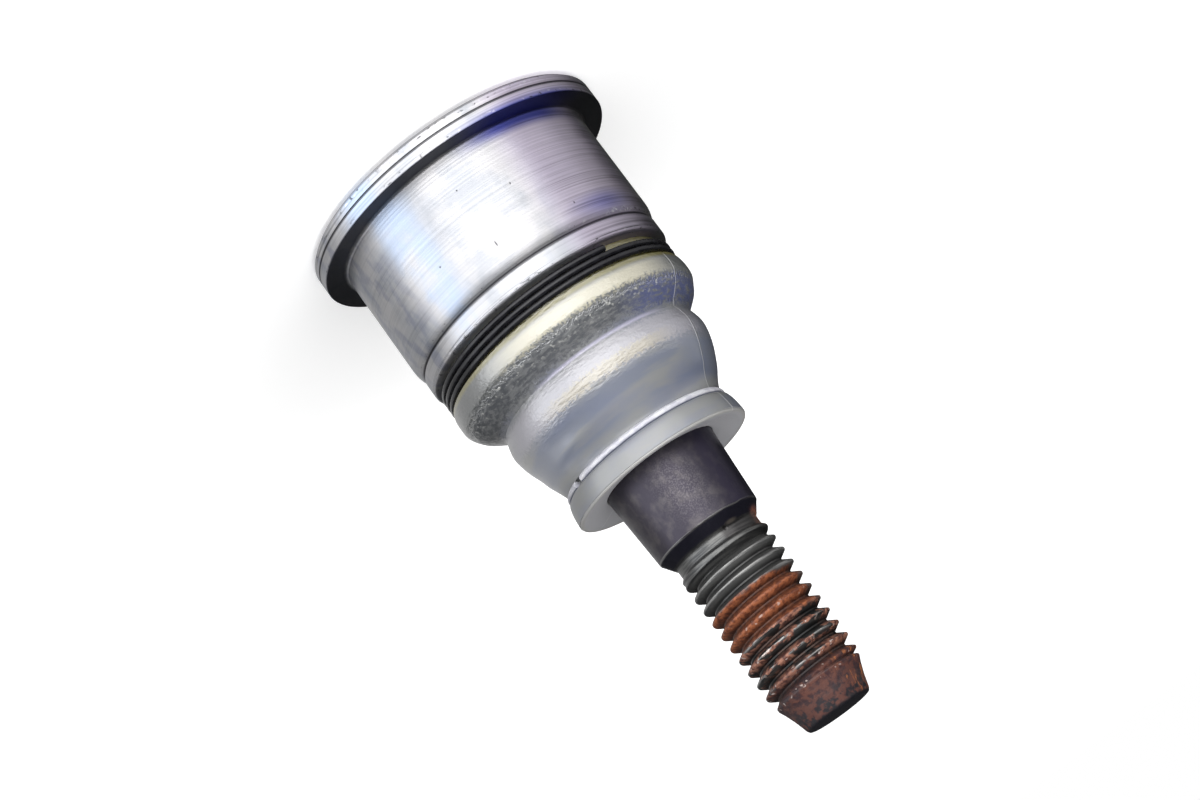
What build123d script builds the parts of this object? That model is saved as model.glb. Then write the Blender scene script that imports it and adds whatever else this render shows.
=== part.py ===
from build123d import *
import os
from math import cos, radians, sin, sqrt

# Suspension ball joint. Millimetres; +Z runs from the closed end of the housing along the
# stud; the origin is the centre of the closed end face.

os.makedirs("parts", exist_ok=True)

# ---- fits and clearances ----
BALL_RUNNING = 0.05        # radial, ball in its plastic seats
LIP_RUNNING = 0.05         # radial, boot lip on the stud
SEAT_SLIP = 0.05           # plastic seats in the housing bore
BOND_GAP = 0.05            # steel insert in the rubber lip
WIRE_GRIP = 0.02           # wire rings over the rubber they squeeze

# ---- ball, its seats and the bore they sit in ----
BALL_R = 13.5
BALL_Z = BALL_R + 4.0                        # ball centre, where every swing axis crosses
BALL_FLAT_Z = BALL_Z - BALL_R + 1.5          # flat on the closed-end side of the ball
SEAT_WALL = 1.3
SEAT_EDGE_DEG = 60.35                        # how far up the ball the seat reaches
BORE_R = BALL_R + BALL_RUNNING + SEAT_WALL + SEAT_SLIP
SEAT_SPLIT_Z = BALL_Z - 3.75                 # joint line between the two plastic seats
SEAT_GAP = 0.3
SEAT_SLOTS = 6
SEAT_SLOT_W = 1.2
SEAT_SLOT_Z = SEAT_SPLIT_Z + 2.05
PRESSURE_HOLE_R = BALL_R * 0.504
PRESSURE_FLOOR_Z = BALL_Z - BALL_R + 0.35

# ---- housing ----
BARREL_R = BORE_R + 4.7
FLANGE_R = BARREL_R + 3.35
FLANGE_T = 3.45
RIM_LINE = (1.62, 1.84, 0.12)                # fine turned line round the rim: from, to, depth
NOSE_Z = BALL_Z + (BALL_R + BALL_RUNNING) * cos(radians(SEAT_EDGE_DEG))
NOSE_INNER_R = (BALL_R + BALL_RUNNING) * sin(radians(SEAT_EDGE_DEG)) + 0.32
MOUTH_Z = NOSE_Z + 4.3
MOUTH_R = NOSE_INNER_R + 2.25
BARREL_END_Z = MOUTH_Z - 9.1
RELIEF_R = BARREL_R - 0.7
RELIEF_Z = MOUTH_Z - 6.75
LAND_R = BARREL_R - 0.45
LAND_Z = (MOUTH_Z - 6.35, MOUTH_Z - 4.1)
GROOVE_R = BARREL_R - 3.0                    # seat of the boot bead
GROOVE_Z = (MOUTH_Z - 3.8, MOUTH_Z - 0.8)
COVER_R = BORE_R + 1.1
COVER_Z = (PRESSURE_FLOOR_Z - 3.45, PRESSURE_FLOOR_Z - 1.25)
ROLL_R = BORE_R + 0.2                        # inner edge of the rolled-over rim

# ---- preload spring ----
SPRING_T = 0.8
SPRING_R = (BORE_R * 0.5, BORE_R - 1.1)
SPRING_TOP_Z = PRESSURE_FLOOR_Z

# ---- stud ----
NECK_R = BALL_R * 0.489
NECK_FILLET = 1.0
NECK_TOP_Z = BALL_Z + BALL_R + 0.5
LIP_SEAT_R = NECK_R + 2.15                   # plain band that the boot lip grips
LIP_SEAT_Z = (MOUTH_Z + 14.0, MOUTH_Z + 18.2)
TAPER_RATIO = 8.0                            # 1:8 on diameter
TAPER_SMALL_R = LIP_SEAT_R - 0.9
TAPER_END_Z = LIP_SEAT_Z[1] + 2.0 * TAPER_RATIO * (LIP_SEAT_R - TAPER_SMALL_R)
THREAD_R = 6.9                               # M14 x 2, over the crests
THREAD_Z = (TAPER_END_Z + 3.9, TAPER_END_Z + 23.4)
UNDERCUT_R = THREAD_R - 0.5
UNDERCUT_Z = (THREAD_Z[0] - 1.9, THREAD_Z[0] - 0.7)
DOG = ((0.25, 0.7), (0.83, 2.3), (1.4, 3.8), (2.0, 5.8), (2.15, 6.0))   # inset, past the thread

# ---- boot and its rings ----
CLAMP_WIRE_D = 0.93
CLAMP_PITCH = CLAMP_WIRE_D + 0.06
CLAMP_TURNS = 2.55
CLAMP_START_DEG = 233.5
CLAMP_Z = GROOVE_Z[0] + 0.57                 # centre of the first turn
CLAMP_BED_R = GROOVE_R + 1.2                 # rubber under the wound ring
LIP_WIRE_D = 1.05
LIP_RING_Z = MOUTH_Z + 18.5
LIP_RING_BED_R = LIP_SEAT_R + 3.07           # floor of the groove that the open ring lies in
LIP_RING_GAP_DEG = (317.5, 326.0)
LIP_END_Z = LIP_RING_Z + 4.0
LIP_HOLLOW = 1.0                             # how far the lip's end face is dished
INSERT_R = (LIP_SEAT_R + 1.15, LIP_SEAT_R + 2.25)
INSERT_Z = (LIP_RING_Z - 1.8, LIP_RING_Z + 2.2)

# Boot outline, as steps out from a base radius and up from the housing mouth.
FOLD_1 = ((-0.85, -0.2), (-0.65, 1.5), (-0.75, 2.5), (-1.25, 3.4), (-1.85, 4.2),
          (-2.85, 5.0), (-3.85, 5.8), (-4.4, 6.5))                      # from the barrel
FOLD_2_WIDE = ((-4.4, 6.5), (-4.05, 7.5), (-3.8, 8.8), (-3.9, 10.0), (-4.35, 11.7))
FOLD_2_NARROW = ((5.7, 13.7), (5.15, 15.0), (4.35, 16.1), (3.75, 17.0), (3.67, 17.7))
LIP_OUTER = ((4.35, 19.25), (4.55, 19.9), (4.7, 20.8), (4.82, 22.4))    # from the lip seat
INNER_WIDE = ((-2.4, 0.2), (-2.15, 1.5), (-2.35, 2.5), (-2.9, 3.2), (-4.0, 4.0), (-5.1, 5.1),
              (-5.9, 6.5), (-5.6, 7.6), (-5.3, 8.8), (-5.4, 9.9))
INNER_NARROW = ((5.0, 11.4), (4.2, 13.4), (3.65, 14.6), (2.85, 15.8))


def placed(base_r, steps):
    """Outline points from steps out of a base radius and up from the housing mouth."""
    return [(base_r + out, MOUTH_Z + up) for out, up in steps]


def turned(*edges):
    """Revolve a closed outline, given as (radius, height) edges, about Z."""
    return revolve(Plane.XZ * make_face(Curve() + list(edges)), Axis.Z)


def ring_of(points):
    """Revolve a closed outline of straight lines."""
    return turned(Polyline(*points, close=True))


def sphere_z(radius, r, side):
    """Height where a sphere about the ball centre has radius r; side is +1 or -1."""
    return BALL_Z + side * sqrt(radius * radius - r * r)


def taper_r(z):
    return TAPER_SMALL_R + (TAPER_END_Z - z) / (2.0 * TAPER_RATIO)


def arc_about_ball(radius, start, end):
    """Arc about the ball centre between two (radius, height) points."""
    mid_r = (start[0] + end[0]) / 2.0
    mid_z = (start[1] + end[1]) / 2.0 - BALL_Z
    scale = radius / sqrt(mid_r * mid_r + mid_z * mid_z)
    return ThreePointArc(start, (mid_r * scale, BALL_Z + mid_z * scale), end)


def ball_stud():
    """Forging in one piece: flatted ball, neck, lip seat, 1:8 taper, threaded length, dog."""
    pole = (sqrt(BALL_R ** 2 - (BALL_Z - BALL_FLAT_Z) ** 2), BALL_FLAT_Z)
    equator = (BALL_R, BALL_Z)
    reach = BALL_R + NECK_FILLET
    fillet_r = NECK_R + NECK_FILLET
    fillet_z = sphere_z(reach, fillet_r, 1)
    share = BALL_R / reach
    tangent = (fillet_r * share, BALL_Z + (fillet_z - BALL_Z) * share)
    neck = (NECK_R, fillet_z)
    toward_r = (tangent[0] + neck[0]) / 2.0 - fillet_r
    toward_z = (tangent[1] + neck[1]) / 2.0 - fillet_z
    scale = NECK_FILLET / sqrt(toward_r ** 2 + toward_z ** 2)
    middle = (fillet_r + toward_r * scale, fillet_z + toward_z * scale)
    shank = [neck, (NECK_R, NECK_TOP_Z), (LIP_SEAT_R, LIP_SEAT_Z[0]),
             (LIP_SEAT_R, LIP_SEAT_Z[1]), (TAPER_SMALL_R, TAPER_END_Z),
             (UNDERCUT_R + 0.25, UNDERCUT_Z[0] - 0.4), (UNDERCUT_R, UNDERCUT_Z[0]),
             (UNDERCUT_R, UNDERCUT_Z[1]), (THREAD_R, THREAD_Z[0]), (THREAD_R, THREAD_Z[1])]
    dog = [(THREAD_R - inset, THREAD_Z[1] + past) for inset, past in DOG]
    shank += dog + [(0, dog[-1][1]), (0, BALL_FLAT_Z), pole]
    return turned(arc_about_ball(BALL_R, pole, equator),
                  arc_about_ball(BALL_R, equator, tangent),
                  ThreePointArc(tangent, middle, neck), Polyline(*shank))


def housing():
    """Turned press-in housing with a spherical socket and a rolled-over closed end."""
    nose = (sqrt(BORE_R ** 2 - (NOSE_Z - BALL_Z) ** 2), NOSE_Z)
    line_low, line_high, line_deep = RIM_LINE
    outer = [nose, (NOSE_INNER_R, NOSE_Z), (NOSE_INNER_R, NOSE_Z + 0.4),
             (MOUTH_R, MOUTH_Z - 0.3), (MOUTH_R + 0.3, MOUTH_Z),
             (GROOVE_R + 0.3, MOUTH_Z), (GROOVE_R + 0.55, MOUTH_Z - 0.25),
             (GROOVE_R + 0.55, GROOVE_Z[1] + 0.2), (GROOVE_R, GROOVE_Z[1]),
             (GROOVE_R, GROOVE_Z[0]), (LAND_R - 0.45, GROOVE_Z[0] - 0.02),
             (LAND_R - 0.12, LAND_Z[1] - 0.05), (LAND_R, LAND_Z[1] - 0.5),
             (LAND_R, LAND_Z[0] + 0.45), (LAND_R - 0.08, LAND_Z[0] + 0.15),
             (RELIEF_R, LAND_Z[0]), (RELIEF_R, RELIEF_Z), (BARREL_R, BARREL_END_Z),
             (BARREL_R, FLANGE_T + 0.55), (BARREL_R + 0.15, FLANGE_T + 0.15),
             (BARREL_R + 0.55, FLANGE_T), (FLANGE_R - 0.2, FLANGE_T),
             (FLANGE_R, FLANGE_T - 0.2), (FLANGE_R, line_high + line_deep / 2.0),
             (FLANGE_R - line_deep, line_high), (FLANGE_R - line_deep, line_low),
             (FLANGE_R, line_low - line_deep / 2.0), (FLANGE_R, 0.55),
             (FLANGE_R - 0.5, 0.0), (ROLL_R + 0.3, 0.0), (ROLL_R, 0.3),
             (ROLL_R, COVER_Z[0] - 0.2), (COVER_R - 0.2, COVER_Z[0]),
             (COVER_R, COVER_Z[0] + 0.3), (COVER_R, COVER_Z[1]),
             (BORE_R, COVER_Z[1]), (BORE_R, BALL_Z)]
    return turned(arc_about_ball(BORE_R, (BORE_R, BALL_Z), nose), Polyline(*outer))


def cover_plate():
    """Pressed steel disc held by the rolled rim, dished in the middle."""
    low, high = COVER_Z
    edge = COVER_R - 0.02
    dish = COVER_R * 0.54
    return ring_of([(0, low + 0.5), (dish, low + 0.5), (dish + 1.0, low), (edge - 0.5, low),
                    (edge, low + 0.5), (edge, high), (0, high)])


def disc_spring():
    """Conical washer that loads the pressure seat against the ball."""
    inner, outer = SPRING_R
    foot = COVER_Z[1]
    return ring_of([(inner, SPRING_TOP_Z - SPRING_T), (inner, SPRING_TOP_Z),
                    (outer, foot + SPRING_T), (outer, foot)])


def pressure_seat():
    """Plastic cup under the ball, free to follow the spring."""
    cup = BALL_R + BALL_RUNNING
    wall = BORE_R - SEAT_SLIP
    top = SEAT_SPLIT_Z - SEAT_GAP
    hole = (PRESSURE_HOLE_R, sphere_z(cup, PRESSURE_HOLE_R, -1))
    rim = (sqrt(cup ** 2 - (BALL_Z - top) ** 2), top)
    return turned(arc_about_ball(cup, hole, rim),
                  Polyline(rim, (wall, top), (wall, SPRING_TOP_Z + 0.6),
                           (wall - 0.6, SPRING_TOP_Z), (PRESSURE_HOLE_R, SPRING_TOP_Z), hole))


def ball_seat():
    """Plastic cup round the ball's shoulder, slotted so that it can snap over the ball."""
    cup = BALL_R + BALL_RUNNING
    shell = BORE_R - SEAT_SLIP
    top = NOSE_Z - 0.02
    rim = (sqrt(cup ** 2 - (top - BALL_Z) ** 2), top)
    shoulder = (sqrt(shell ** 2 - (top - BALL_Z) ** 2), top)
    start = (sqrt(cup ** 2 - (BALL_Z - SEAT_SPLIT_Z) ** 2), SEAT_SPLIT_Z)
    body = turned(arc_about_ball(cup, start, rim), Line(rim, shoulder),
                  arc_about_ball(shell, shoulder, (shell, BALL_Z)),
                  Polyline((shell, BALL_Z), (shell, SEAT_SPLIT_Z), start))
    slot = Box(2 * BORE_R, SEAT_SLOT_W, top, align=(Align.MIN, Align.CENTER, Align.MIN))
    for index in range(SEAT_SLOTS):
        body -= Rot(0, 0, index * 360.0 / SEAT_SLOTS) * Pos(0, 0, SEAT_SLOT_Z) * slot
    return body


def dust_boot():
    """Moulded rubber bellows of two folds with a thick lip for the stud."""
    fold_1 = placed(BARREL_R, FOLD_1)
    fold_2 = placed(BARREL_R, FOLD_2_WIDE) + placed(LIP_SEAT_R, FOLD_2_NARROW)
    lip_outer = placed(LIP_SEAT_R, LIP_OUTER)
    inner = placed(BARREL_R, INNER_WIDE) + placed(LIP_SEAT_R, INNER_NARROW)
    bead_z = (GROOVE_Z[0] + 0.03, GROOVE_Z[1] - 0.03)
    bore = LIP_SEAT_R + LIP_RUNNING
    lip_low = INSERT_Z[0] - 0.3
    pocket = (INSERT_R[0] - BOND_GAP, INSERT_R[1] + BOND_GAP, INSERT_Z[1] + BOND_GAP)
    end_z = LIP_END_Z - LIP_HOLLOW
    half = LIP_WIRE_D / 2.0 + WIRE_GRIP
    bed = [fold_2[-1], (LIP_RING_BED_R + 0.35, LIP_RING_Z - half),
           (LIP_RING_BED_R, LIP_RING_Z - half), (LIP_RING_BED_R, LIP_RING_Z + half),
           (LIP_RING_BED_R + 0.9, LIP_RING_Z + half), lip_outer[0]]
    seal = [(end_z, 0.0), (end_z - 0.6, 0.0), (end_z - 0.9, 0.6), (end_z - 1.6, 0.6),
            (end_z - 1.9, 0.0)]
    lip = [lip_outer[-1], (lip_outer[-1][0] - 0.25, LIP_END_Z),
           (lip_outer[-1][0] - 1.2, LIP_END_Z - 0.1), (taper_r(end_z) + 1.1, end_z + 0.15)]
    lip += [(taper_r(z) + LIP_RUNNING + clear, z) for z, clear in seal]
    lip += [(bore, LIP_SEAT_Z[1]), (bore, lip_low), (pocket[0], lip_low),
            (pocket[0], pocket[2]), (pocket[1], pocket[2]), (pocket[1], lip_low), inner[-1]]
    bead = [inner[0], (GROOVE_R + 0.6, GROOVE_Z[1] + 0.17), (GROOVE_R + 0.03, bead_z[1]),
            (GROOVE_R + 0.03, bead_z[0]), (CLAMP_BED_R, bead_z[0]),
            (CLAMP_BED_R, fold_1[0][1]), fold_1[0]]
    return turned(Spline(*fold_1), Spline(*fold_2), Polyline(*bed), Spline(*lip_outer),
                  Polyline(*lip), Spline(*reversed(inner)), Polyline(*bead))


def boot_clamp_ring():
    """Spring wire wound two and a half turns round the boot bead."""
    mean_r = CLAMP_BED_R + WIRE_GRIP + CLAMP_WIRE_D / 2.0
    path = Helix(CLAMP_PITCH, CLAMP_PITCH * CLAMP_TURNS, mean_r)
    wire = sweep(Plane(path @ 0, z_dir=path % 0) * Circle(CLAMP_WIRE_D / 2.0), path)
    return Pos(0, 0, CLAMP_Z) * Rot(0, 0, CLAMP_START_DEG) * wire


def boot_lip_ring():
    """Open ring of round spring wire in the notch above the lip."""
    mean_r = LIP_RING_BED_R + WIRE_GRIP + LIP_WIRE_D / 2.0
    start, end = LIP_RING_GAP_DEG
    path = CenterArc((0, 0, LIP_RING_Z), mean_r, end, 360.0 - (end - start))
    return sweep(Plane(path @ 0, z_dir=path % 0) * Circle(LIP_WIRE_D / 2.0), path)


def lip_insert():
    """Steel ring moulded into the lip, so that it keeps its grip on the stud."""
    inner, outer = INSERT_R
    low, high = INSERT_Z
    return ring_of([(inner, low), (outer, low), (outer, high - 0.2), (outer - 0.2, high),
                    (inner + 0.2, high), (inner, high - 0.2)])


for make in (housing, cover_plate, disc_spring, pressure_seat, ball_seat, ball_stud,
             dust_boot, boot_clamp_ring, boot_lip_ring, lip_insert):
    export_step(Part() + make(), "parts/" + make.__name__ + ".step")
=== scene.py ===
from math import atan2, cos, hypot, pi, radians, sin, sqrt

import bmesh
import bpy
from mathutils import Matrix, Vector, noise

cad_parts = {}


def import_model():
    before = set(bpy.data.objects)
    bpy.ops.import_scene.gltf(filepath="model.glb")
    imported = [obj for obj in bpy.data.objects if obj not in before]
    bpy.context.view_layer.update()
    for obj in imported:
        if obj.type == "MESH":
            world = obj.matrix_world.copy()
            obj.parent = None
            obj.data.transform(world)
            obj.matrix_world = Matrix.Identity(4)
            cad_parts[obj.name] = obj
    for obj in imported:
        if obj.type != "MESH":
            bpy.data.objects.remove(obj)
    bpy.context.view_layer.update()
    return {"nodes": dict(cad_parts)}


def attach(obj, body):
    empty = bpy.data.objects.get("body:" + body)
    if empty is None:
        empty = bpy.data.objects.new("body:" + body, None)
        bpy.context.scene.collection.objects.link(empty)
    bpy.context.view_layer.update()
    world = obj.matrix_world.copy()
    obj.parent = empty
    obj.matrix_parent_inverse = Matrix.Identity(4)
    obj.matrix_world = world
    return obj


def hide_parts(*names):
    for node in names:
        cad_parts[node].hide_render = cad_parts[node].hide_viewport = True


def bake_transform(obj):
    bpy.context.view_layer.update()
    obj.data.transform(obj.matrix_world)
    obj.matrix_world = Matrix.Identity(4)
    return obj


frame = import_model()

MM = 0.001

# ---- sizes in millimetres and degrees, as in the part's own source ----
BALL_R, BALL_Z, BALL_FLAT_Z = 13.5, 17.5, 5.5
BORE_R, NOSE_Z, NOSE_R = 14.9, 24.2, 12.1
BARREL_R, FLANGE_R, FLANGE_T = 19.6, 22.95, 3.45
WAIST_Z = 35.0
LIP_RING_R, LIP_RING_Z, LIP_WIRE_R = 12.365, 47.0, 0.525
LIP_RING_START, LIP_RING_TURNS = 326.0, 351.5 / 360.0
CLAMP_RING_R, CLAMP_RING_Z, CLAMP_WIRE_R = 18.285, 25.27, 0.465
CLAMP_PITCH, CLAMP_TURNS, CLAMP_START = 0.99, 2.55, 233.5
THREAD_PITCH, CREST_R, UNDERCUT_R = 2.0, 6.9, 6.4
THREAD_LOW, THREAD_HIGH = 65.0, 84.5

# ---- choices of this finer model ----
ROOT_R = 5.72                            # floor of the thread groove
THREAD_START = 0.09                      # where the helix begins, in turns
THREAD_ROWS, THREAD_AROUND = 20, 160     # rows to one pitch, facets round the stud
HOUSING_AROUND, BOOT_AROUND = 256, 224   # facets round each
BOOT_LEAN, BOOT_SWELL = 0.42, 0.1        # how far the rubber strays from round
FEED = 0.47                              # lathe's feed to one turn of the housing


# ---- outlines and solids ----
def rounded(corners, parts=4):
    """Outline of (radius, height) points; a third value rounds that corner."""
    out = []
    count = len(corners)
    for i, corner in enumerate(corners):
        here = Vector(corner[:2])
        if len(corner) < 3:
            out.append(tuple(here))
            continue
        before = Vector(corners[i - 1][:2]) - here
        after = Vector(corners[(i + 1) % count][:2]) - here
        half = before.angle(after) / 2.0
        reach = min(corner[2] / max(sin(half) / cos(half), 1e-6),
                    before.length * 0.49, after.length * 0.49)
        radius = reach * sin(half) / cos(half)
        first = here + before.normalized() * reach
        last = here + after.normalized() * reach
        inward = (before.normalized() + after.normalized()).normalized()
        middle = here + inward * (radius / sin(half))
        for step in range(parts + 1):
            spoke = (first - middle).lerp(last - middle, step / parts)
            out.append(tuple(middle + spoke.normalized() * radius))
    return out


def flowing(points, parts=4):
    """Smooth outline through the points."""
    out = []
    ends = [points[0]] + list(points) + [points[-1]]
    for a, b, c, d in zip(ends, ends[1:], ends[2:], ends[3:]):
        a, b, c, d = (Vector(p) for p in (a, b, c, d))
        for step in range(parts):
            t = step / parts
            p = 0.5 * (2 * b + (c - a) * t + (2 * a - 5 * b + 4 * c - d) * t * t
                       + (3 * b - a - 3 * c + d) * t ** 3)
            out.append(tuple(p))
    out.append(tuple(points[-1]))
    return out


def spun(outline, around):
    """Turn a closed outline once about Z."""
    bm = bmesh.new()
    verts = [bm.verts.new((r * MM, 0.0, z * MM)) for r, z in outline]
    edges = [bm.edges.new(pair) for pair in zip(verts, verts[1:] + verts[:1])]
    bmesh.ops.spin(bm, geom=verts + edges, cent=(0, 0, 0), axis=(0, 0, 1), dvec=(0, 0, 0),
                   angle=2 * pi, steps=around, use_merge=True, use_duplicate=False)
    bmesh.ops.remove_doubles(bm, verts=bm.verts, dist=2e-7)
    return bm


def finished(name, bm, crease=32.0):
    """Make the object, smooth but for its real corners."""
    bmesh.ops.recalc_face_normals(bm, faces=bm.faces)
    for face in bm.faces:
        face.smooth = True
    for edge in bm.edges:
        if len(edge.link_faces) == 2 and edge.calc_face_angle() > radians(crease):
            edge.smooth = False
    mesh = bpy.data.meshes.new(name)
    bm.to_mesh(mesh)
    bm.free()
    piece = bpy.data.objects.new(name, mesh)
    bpy.context.scene.collection.objects.link(piece)
    return piece


def ease(value, low, high):
    """0 up to low, 1 from high on, and a smooth rise between."""
    share = min(max((value - low) / (high - low), 0.0), 1.0)
    return share * share * (3.0 - 2.0 * share)


# ---- housing ----
def make_housing():
    """Flange, barrel, land, boot groove, nose, ball bore and the recess of the cover."""
    bore = []
    for step in range(13):
        z = NOSE_Z + (BALL_Z - NOSE_Z) * step / 12.0
        bore.append((sqrt(BORE_R ** 2 - (z - BALL_Z) ** 2), z))
    rim_line_r = FLANGE_R - 0.12
    outline = rounded([
        (15.1, 0.0, 0.25), (22.42, 0.0, 0.15), (FLANGE_R, 0.53, 0.2),
        (FLANGE_R, 1.56, 0.03), (rim_line_r, 1.64), (rim_line_r, 1.82),
        (FLANGE_R, 1.9, 0.03), (FLANGE_R, FLANGE_T, 0.16), (BARREL_R, FLANGE_T, 0.5),
        (BARREL_R, 18.8)])
    outline += flowing([(BARREL_R, 19.0), (19.57, 19.7), (19.46, 20.3), (19.28, 20.85),
                        (19.0, 21.38)])
    outline += rounded([
        (18.84, 21.55, 0.05), (18.86, 21.7, 0.05), (19.15, 21.95, 0.3), (19.15, 24.4, 0.55),
        (18.6, 24.7), (16.6, 24.7, 0.2), (16.6, 27.7), (17.15, 27.9), (17.15, 28.5, 0.2),
        (14.65, 28.5, 0.2), (NOSE_R, 24.6, 0.1), (NOSE_R, NOSE_Z)])
    outline += bore
    outline += rounded([(BORE_R, 3.1), (16.0, 3.1), (16.0, 1.2), (15.8, 0.9), (15.1, 0.7, 0.1)])
    piece = finished("housing_turned", spun(outline, HOUSING_AROUND))
    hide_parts("housing")
    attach(piece, "housing")
    return piece


# ---- stud ----
DOG = [(6.45, 86.0), (6.07, 86.8), (5.5, 88.3), (4.98, 90.1), (4.75, 90.42), (4.5, 90.5)]
SHANK = [(UNDERCUT_R, 63.5), (6.42, 63.1), (6.72, 62.75), (7.62, 61.45), (7.83, 61.2),
         (7.87, 60.9), (8.32, 53.5), (8.747, 46.7), (8.75, 43.8), (8.6, 43.2), (6.62, 39.2),
         (6.6, 29.86), (6.78, 29.3), (7.08, 29.0)]
THREAD_CHAMFER = 0.42
THREAD_WEAR, WEAR_SCALE = 0.06, 320.0    # depth in millimetres, noise scale per metre


def tooth(phase):
    """Depth of the thread groove, 0 on the crest to 1 in the root, over one pitch."""
    root_flat, flanks = 0.12, 0.74
    away = abs((phase % 1.0) - 0.5) * 2.0
    return 1.0 - min(max((away - root_flat) / flanks, 0.0), 1.0)


def ball_outline():
    """Points down the ball from the neck to the edge of its flat."""
    neck_r, neck_z = SHANK[-1]
    start = atan2(neck_r, neck_z - BALL_Z)
    flat_r = sqrt(BALL_R ** 2 - (BALL_Z - BALL_FLAT_Z) ** 2)
    finish = atan2(flat_r, BALL_FLAT_Z - BALL_Z)
    out = []
    for step in range(1, 41):
        angle = start + (finish - start) * step / 40.0
        out.append((BALL_R * sin(angle), BALL_Z + BALL_R * cos(angle)))
    return out


def make_stud():
    """One forging, with its thread cut as a true helix."""
    cut_low, cut_high = THREAD_LOW - 1.1, THREAD_HIGH + 1.45
    # More turns are wound than are kept, so that both ends can be cut square.
    first, turns = THREAD_LOW - 4.6, 14
    bm = bmesh.new()
    verts = [bm.verts.new((CREST_R * MM, 0.0, (first + THREAD_PITCH * i / THREAD_ROWS) * MM))
             for i in range(turns * THREAD_ROWS + 1)]
    edges = [bm.edges.new(pair) for pair in zip(verts, verts[1:])]
    bmesh.ops.spin(bm, geom=verts + edges, cent=(0, 0, 0), axis=(0, 0, 1),
                   dvec=(0, 0, THREAD_PITCH * MM / THREAD_AROUND), angle=2 * pi,
                   steps=THREAD_AROUND, use_merge=False, use_duplicate=False)
    bmesh.ops.remove_doubles(bm, verts=bm.verts, dist=1e-6)
    for z, keep in ((cut_low, 1), (cut_high, -1)):
        geom = list(bm.verts) + list(bm.edges) + list(bm.faces)
        bmesh.ops.bisect_plane(bm, geom=geom, dist=1e-8, plane_co=(0, 0, z * MM),
                               plane_no=(0, 0, keep), clear_inner=True)
    for vert in bm.verts:
        x, y, z = vert.co
        z /= MM
        cut = tooth(z / THREAD_PITCH - atan2(y, x) / (2 * pi) + THREAD_START)
        crest = UNDERCUT_R + (CREST_R - UNDERCUT_R) * ease(z, THREAD_LOW - 0.7, THREAD_LOW)
        crest -= THREAD_CHAMFER * ease(z, THREAD_HIGH - 0.2, cut_high)
        wear = THREAD_WEAR * noise.noise(Vector((x, y, z * MM)) * WEAR_SCALE)
        depth = (CREST_R - ROOT_R) * ease(z, THREAD_LOW - 0.3, THREAD_LOW + 1.6)
        depth *= 1.0 - ease(z, cut_high - 0.6, cut_high - 0.1)
        radius = crest - depth * cut - max(wear, 0.0) * (1.0 - cut)
        scale = radius * MM / hypot(x, y)
        vert.co.x *= scale
        vert.co.y *= scale
    for level, rings in ((cut_high, DOG), (cut_low, SHANK + ball_outline())):
        loop = [e for e in bm.edges if len(e.link_faces) == 1
                and all(abs(v.co.z / MM - level) < 1e-3 for v in e.verts)]
        for radius, height in rings:
            grown = bmesh.ops.extrude_edge_only(bm, edges=loop)["geom"]
            loop = [g for g in grown if isinstance(g, bmesh.types.BMEdge)]
            for vert in {v for e in loop for v in e.verts}:
                scale = radius * MM / hypot(vert.co.x, vert.co.y)
                vert.co = (vert.co.x * scale, vert.co.y * scale, height * MM)
        bmesh.ops.holes_fill(bm, edges=loop, sides=0)
    piece = finished("stud_forged", bm, crease=38.0)
    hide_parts("ball_stud")
    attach(piece, "stud")
    return piece


# ---- boot ----
BEAD = [(16.63, 27.67), (16.63, 24.73, 0.1), (17.8, 24.73, 0.15), (17.8, 28.25, 0.1)]
BEAD_INNER = (17.2, 27.87)
FOLD_1 = [(18.72, 28.28), (18.9, 29.0), (18.95, 30.0), (18.85, 31.0), (18.35, 31.9),
          (17.75, 32.7), (16.75, 33.5), (15.75, 34.3), (15.2, WAIST_Z)]
FOLD_2 = [(15.2, WAIST_Z), (15.55, 36.0), (15.8, 37.3), (15.7, 38.5), (15.25, 40.2),
          (14.45, 42.2), (13.95, 43.4), (13.35, 44.5), (12.86, 45.5), (12.6, 46.2)]
INSIDE_1 = [(17.2, 28.7), (17.45, 30.0), (17.25, 31.0), (16.7, 31.7), (15.6, 32.5),
            (14.65, 33.7), (14.1, WAIST_Z)]
INSIDE_2 = [(14.1, WAIST_Z), (14.4, 36.1), (14.6, 37.3), (14.45, 38.5), (13.9, 40.0),
            (13.0, 41.9), (12.4, 43.1), (11.6, 44.3)]
RING_GROOVE = [(12.53, 46.49, 0.03), (11.82, 46.46), (11.82, 47.54), (12.8, 47.56, 0.06)]
LIP_OUTER = [(13.1, 47.75), (13.3, 48.4), (13.45, 49.3), (13.55, 50.6)]
LIP_END = [(13.57, 51.0, 0.22), (12.35, 50.88, 0.3), (9.7, 50.2, 0.2), (8.6, 50.0, 0.1),
           (8.63, 49.4), (9.2, 49.1), (9.25, 48.4), (8.72, 48.1), (8.8, 46.7), (8.8, 44.9),
           (9.85, 44.9), (9.85, 49.25), (11.05, 49.25), (11.05, 44.9)]
BEND_1, BEND_2 = (28.4, WAIST_Z), (WAIST_Z, 44.8)


def rubber_give(bm):
    """Moulded rubber is never quite round: it leans and swells a little."""
    for vert in bm.verts:
        z = vert.co.z / MM
        lean = BOOT_LEAN * ease(z, 31.5, 35.0) * (1.0 - ease(z, 41.0, 46.0))
        free = ease(z, 28.4, 30.0) * (1.0 - ease(z, 44.0, 46.0))
        swell = BOOT_SWELL * free * noise.noise(vert.co * 130.0)
        radius = hypot(vert.co.x, vert.co.y)
        vert.co.x += -lean * MM + swell * MM * vert.co.x / radius
        vert.co.y += swell * MM * vert.co.y / radius


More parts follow.
